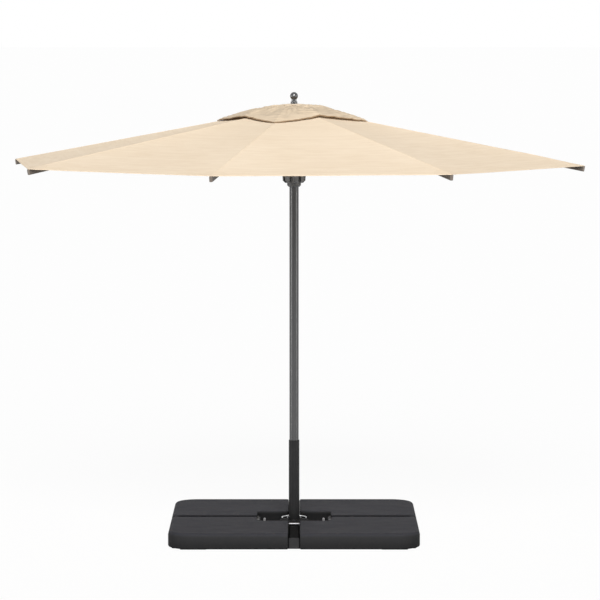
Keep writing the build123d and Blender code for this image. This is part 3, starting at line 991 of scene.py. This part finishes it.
def thicken(piece, thickness):
    modifier = piece.modifiers.new("thickness", "SOLIDIFY")
    modifier.thickness = thickness
    modifier.offset = 1.0
    modifier.use_quality_normals = True
    settle(piece)
    for polygon in piece.data.polygons:
        polygon.use_smooth = True
    piece.data.set_sharp_from_angle(angle=sharpAngle)
    return piece


goreSides = (("left", -1), ("right", 1))
blendWidth = 0.06


def hangHalf(piece, number, sign):
    # bakes the piece's placement into its mesh; the start and end of the seam beside the rib are worked out
    # but not used
    rib = ribFrame(number)
    start = rib["point"]
    end = start + rib["across"] * sign * blendWidth
    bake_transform(piece)


def makeTier(tier, cloth, sizes, rimOf, trimOf, trimName):
    grids = {}
    for number in range(1, ribCount + 1):
        for side, sign in goreSides:
            name = f"{tier}_{number}_{side}"
            piece = growPanel(name, number, sign, sizes, rimOf(number, sign), cloth)
            grid = gridOf(piece, sizes["rows"], sizes["columns"])
            grids[number, side] = grid
            flat = (lengthOf(grid[-1]), max(lengthOf(column) for column in zip(*grid)))
            trim = trimOf(f"{name}_{trimName}", grid, panelUp(grid))
            thicken(piece, clothSizes["thickness"])
            hangHalf(piece, number, sign)
            hangHalf(trim, number, sign)
            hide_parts(f"canopy_{number}_{side}")
    return grids


def goreRim(number, _):
    # both halves of a gore end alike
    rib = ribFrame(number)
    inner, outer = (
        rib["apex"] - radius * rib["tilt"] for radius in (clothSizes["innerRadius"], tipRadius))
    return {
        "ownReach": tipRadius, "middleReach": tipRadius,
        "innerHeight": inner, "ownHeight": outer, "middleHeight": outer,
    }


def ventRim(number, sign):
    rib = ribFrame(number)
    own, other = number - 1, (number - 1 + sign) % ribCount
    reach, lift = ventSizes["reach"], ventSizes["lift"]
    between = ventSizes["middleLift"][own if sign > 0 else other]
    # the side of the square runs straight from rib to rib
    middle = 2 * reach[own] * reach[other] / (reach[own] + reach[other])
    over = rib["apex"] + clothSizes["thickness"]
    return {
        "ownReach": reach[own], "middleReach": middle,
        "ownHeight": over - reach[own] * rib["tilt"] + lift[own],
        "middleHeight": over - middle * rib["tilt"] + between,
    }


goreGrids = makeTier("gore", "cloth", clothSizes, goreRim, hemPiece, "hem")
makeTier("vent", "ventCloth", ventSizes, ventRim, bindingPiece, "binding")
print("canopy tiers done")

seamSizes = {"halfWidth": 0.008, "thickness": 0.0004, "shoulder": 0.25, "rows": (0.0028, 0.0062)}


def makeSeams():
    # the felled seam over each rib, sewn with two rows on each side
    skin = toTop * clothSizes["thickness"]
    base = skin * 0.5
    top = toTop * (clothSizes["thickness"] + seamSizes["thickness"])
    shoulder = seamSizes["shoulder"]
    for number in range(1, ribCount + 1):
        loops = []
        rows = {place: [] for distance in seamSizes["rows"] for place in (-distance, distance)}
        for left, right in zip(goreGrids[number, "left"], goreGrids[number, "right"]):
            middle = right[0]
            first, last = (walk(half, seamSizes["halfWidth"]) for half in (left, right))
            loops.append([
                first + base, first + skin, first.lerp(middle, shoulder) + top, middle + top,
                last.lerp(middle, shoulder) + top, last + skin, last + base, middle + base])
            for place, line in rows.items():
                line.append(walk(right if place > 0 else left, abs(place)) + top)
        name = f"seam_{number}"
        seam = stripPiece(name, loops, finish["cloth"])
        lines = list(rows.values())
        joinPieces(seam, [beadPiece(name + "Rows", lines, toTop, stitchSizes, finish["thread"])])
        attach(seam, f"rib_{number}")


makeSeams()

topCapSizes = {
    "boreRadius": 0.0055,
    "flatRadius": 0.030,
    "rings": (0.33, 0.66, 1.0),
    "drop": 0.0056,
    "dropPower": 1.4,
    "waves": 8,
    "wavePhase": 0.4,
    "waveHeight": 0.0009,
    "flatWave": 0.1,
    "edgeGap": 0.0005,
    "topGap": 0.0002,
    "steps": 96,
}


def makeTopCap():
    # small round cap of cloth that the finial presses on the vent's tier
    size = topCapSizes
    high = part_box("canopy_top_cap")[1]
    rim = high[0] - size["edgeGap"]
    top = high[2] - size["topGap"]
    # radius, height and share of the wave, from the bore to the edge
    line = [(size["boreRadius"], 0.0, 0.0), (size["flatRadius"], 0.0, size["flatWave"])]
    for part in size["rings"]:
        radius = size["flatRadius"] + (rim - size["flatRadius"]) * part
        line.append((radius, -size["drop"] * part ** size["dropPower"], part))
    loops = []
    for step in range(size["steps"]):
        angle = 2 * math.pi * step / size["steps"]
        wave = math.cos(angle * size["waves"] + size["wavePhase"]) * size["waveHeight"]
        outward = toRight * math.cos(angle) + toBack * math.sin(angle)
        upper = [outward * radius + toTop * (top + lift + wave * share) for radius, lift, share in line]
        lower = [point - toTop * clothSizes["thickness"] for point in reversed(upper)]
        loops.append(upper + lower)
    cap = stripPiece("topCap", loops, finish["cloth"], closed=True)
    cap.data.shade_smooth()
    cap.data.set_sharp_from_angle(angle=sharpAngle)
    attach(cap, "mast")
    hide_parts("canopy_top_cap")


makeTopCap()
print("seams and top cap done")


# Metalwork and plastic details

weldSizes = {
    "pitch": 0.0022, "length": 0.0048, "width": 0.0062, "height": 0.0050, "smoothness": 2,
    "flange": 0.006, "ringGap": 0.0008, "ringSteps": 72,
    "bossRadius": 0.0115, "bossGap": 0.0004, "bossSteps": 40,
}
gripSizes = {
    "pitch": 0.0056, "length": 0.0030, "width": 0.0030, "height": 0.0076, "smoothness": 2,
    "inset": 0.0048, "steps": 96,
}


def ringLine(centre, radius, first, second, steps):
    turns = [2 * math.pi * step / steps for step in range(steps + 1)]
    return [centre + first * (radius * math.cos(turn)) + second * (radius * math.sin(turn)) for turn in turns]


def makeWelds():
    # the socket on its flange, and the boss of the clamp screw on the socket
    tube = nodes["socket_tube"].data.vertices
    top = max(vertex.co.z for vertex in tube)
    socketRadius = max(radiusOf(vertex.co) for vertex in tube if vertex.co.z > top - 0.001)
    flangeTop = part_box("cross_frame")[1][2] + weldSizes["flange"]
    ring = ringLine(
        toTop * flangeTop, socketRadius + weldSizes["ringGap"], toRight, toBack, weldSizes["ringSteps"])
    bossHeight = joints["clamp_knob_turn"]["pos_m"][2]
    saddle = ringLine(
        toTop * bossHeight, weldSizes["bossRadius"], toRight, toTop, weldSizes["bossSteps"])
    for point in saddle:
        point.y = math.sqrt(socketRadius ** 2 - point.x ** 2) + weldSizes["bossGap"]
    weld = beadPiece("socketWelds", [ring, saddle], toTop, weldSizes, finish["sleeve"])
    weld.data.shade_smooth()
    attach(weld, "base")


def makeGrips():
    # ribs round the rims of the fill caps
    for name in [node for node in nodes if node.startswith("fill_cap")]:
        place = Vector(joints[name + "_turn"]["pos_m"])
        axis = Vector(joints[name + "_turn"]["axis"])
        low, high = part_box(name)
        radius = (high[2] - low[2]) / 2
        ring = ringLine(place + axis * gripSizes["inset"], radius, toBack, toTop, gripSizes["steps"])
        grip = beadPiece(name + "Grip", [ring], axis, gripSizes, finish["nylon"])
        grip.data.shade_smooth()
        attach(grip, name)


slitShadeSizes = {"start": (0.196, 0.180), "gap": 0.0005, "edge": 0.004, "bevel": 0.0006}


def makeSlitShadeStrips():
    # black strips on the sides of the bars, a dark sheet of painted shade in the slit between each bar and
    # the tanks beside it
    edge, bevel = slitShadeSizes["edge"], slitShadeSizes["bevel"]
    low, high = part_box("frame_end_caps")
    ends = [vertex.co for vertex in nodes["frame_end_caps"].data.vertices]
    inner = max(abs(point.x) for point in ends if point.y < low[1] * 0.9)  # the front cap's half width
    tankLow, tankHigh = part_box("tank_front_right")
    outer = tankLow[0] - slitShadeSizes["gap"]
    bottom, top = low[2] + edge, tankHigh[2] - edge
    profile = (
        (inner, bottom), (outer - bevel, bottom), (outer, bottom + bevel), (outer, top - bevel),
        (outer - bevel, top), (inner, top))
    strips = []
    axes = (toRight, toBack)
    for axis, other, start in zip(axes, reversed(axes), slitShadeSizes["start"]):
        for along, across in ((axis, other), (axis, -other), (-axis, other), (-axis, -other)):
            loops = [
                [along * place + across * reach + toTop * height for reach, height in profile]
                for place in (start, high[0] - edge)]
            strips.append(stripPiece("slitShadeStrips", loops, finish["frame"]))
    piece = joinPieces(strips[0], strips[1:])
    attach(piece, "base")


makeWelds()
makeGrips()
makeSlitShadeStrips()
print("welds, grips and strips done")


# Studio: floor, light and camera

studio = {
    "floorSize": 400.0,
    "floorColour": (0.93, 0.93, 0.93),
    "floorMottle": 0.99,
    "floorWhite": 0.94,
    "skyLevel": 0.10,
    "keyLevel": 4.15,
    "keyAngle": 36.0,
    "keyHeight": 31.0,
    "keyTurn": 0.0,
    "stripLevel": (180.0, 150.0),
    "stripTurn": 66.0,
    "stripDistance": 7.0,
    "stripSize": (1.6, 4.0),
    "stripSink": 0.6,
}
white = (1, 1, 1, 1)


def backgroundRays(wire):
    light = wire.node("ShaderNodeLightPath")
    seen = light
    for name in ("Is Glossy Ray", "Is Transmission Ray"):
        seen = light.math("MAXIMUM", seen, light.other(name))
    return seen


def makeFloor():
    half = studio["floorSize"] / 2
    corners = [(-half, -half, 0), (half, -half, 0), (half, half, 0), (-half, half, 0)]
    mesh = bpy.data.meshes.new("floor")
    mesh.from_pydata(corners, [], [(0, 1, 2, 3)])
    material, tree, shader = newFinish("paleFloor", Roughness=0.9, Specular_IOR_Level=0.1)
    grain = noise(objectPlace(tree), 2.0, 2.0)
    colour = studio["floorColour"]
    plug(shader, "Base Color", mixColour(grain, colour, shaded(colour, studio["floorMottle"])))
    glow = tree.node("ShaderNodeEmission", None, {"Color": white, "Strength": 1.0})
    factor = backgroundRays(tree) * studio["floorWhite"]
    lit = Wire(tree.tree, shader.outputs[0])
    mixed = tree.node("ShaderNodeMixShader", None, {0: factor, 1: lit, 2: glow})
    tree.tree.links.new(mixed.socket, tree.tree.nodes["Material Output"].inputs["Surface"])
    mesh.materials.append(material)
    newPiece("floor", mesh)


def makeWorld():
    world = bpy.data.worlds.new("studio")
    bpy.context.scene.world = world
    world.use_nodes = True
    world.node_tree.nodes.clear()
    tree = Wire(world.node_tree)
    lit = tree.node("ShaderNodeBackground", None, {"Color": white, "Strength": studio["skyLevel"]})
    plain = tree.node("ShaderNodeBackground", None, {"Color": white, "Strength": 1.0})
    mixed = tree.node("ShaderNodeMixShader", None, {0: backgroundRays(tree), 1: lit, 2: plain})
    output = world.node_tree.nodes.new("ShaderNodeOutputWorld")
    world.node_tree.links.new(mixed.socket, output.inputs[0])


def fromFront(turn, height):
    # unit vector towards a light: turn to the right of the front, height over the floor, in degrees
    turn, height = math.radians(turn), math.radians(height)
    flat = toRight * math.sin(turn) - toBack * math.cos(turn)
    return flat * math.cos(height) + toTop * math.sin(height)


def makeLights():
    lamp = bpy.data.lights.new("key", "SUN")
    lamp.energy = studio["keyLevel"]
    lamp.angle = math.radians(studio["keyAngle"])
    key = newPiece("key", lamp)
    away = fromFront(studio["keyTurn"], studio["keyHeight"])
    key.rotation_euler = away.to_track_quat("Z", "Y").to_euler()
    middle = toTop * (studio["stripSize"][1] / 2 - studio["stripSink"])
    for name, sign, level in zip(("leftStrip", "rightStrip"), (-1, 1), studio["stripLevel"]):
        lamp = bpy.data.lights.new(name, "AREA")
        lamp.shape = "RECTANGLE"
        lamp.size, lamp.size_y = studio["stripSize"]
        lamp.energy = level
        strip = newPiece(name, lamp)
        away = fromFront(sign * studio["stripTurn"], 0)
        strip.location = away * studio["stripDistance"] + middle
        strip.rotation_euler = away.to_track_quat("Z", "Y").to_euler()
        strip.visible_diffuse = False


cameraPlace = {
    "position": (0.0178, -18.3204, 2.7358),
    "pitchDown": 4.7756,
    "turnRight": 0.0402,
    "lens": 213.79,
    "sensor": 36.0,
    "farthest": 1000,
}


def makeCamera():
    lens = bpy.data.cameras.new("camera")
    lens.lens = cameraPlace["lens"]
    lens.sensor_width = cameraPlace["sensor"]
    lens.clip_end = cameraPlace["farthest"]
    camera = newPiece("camera", lens)
    camera.location = cameraPlace["position"]
    camera.rotation_euler = (
        math.radians(90 - cameraPlace["pitchDown"]), 0, -math.radians(cameraPlace["turnRight"]))
    bpy.context.scene.camera = camera


makeFloor()
makeWorld()
makeLights()
makeCamera()
bpy.context.scene.view_settings.view_transform = "Standard"
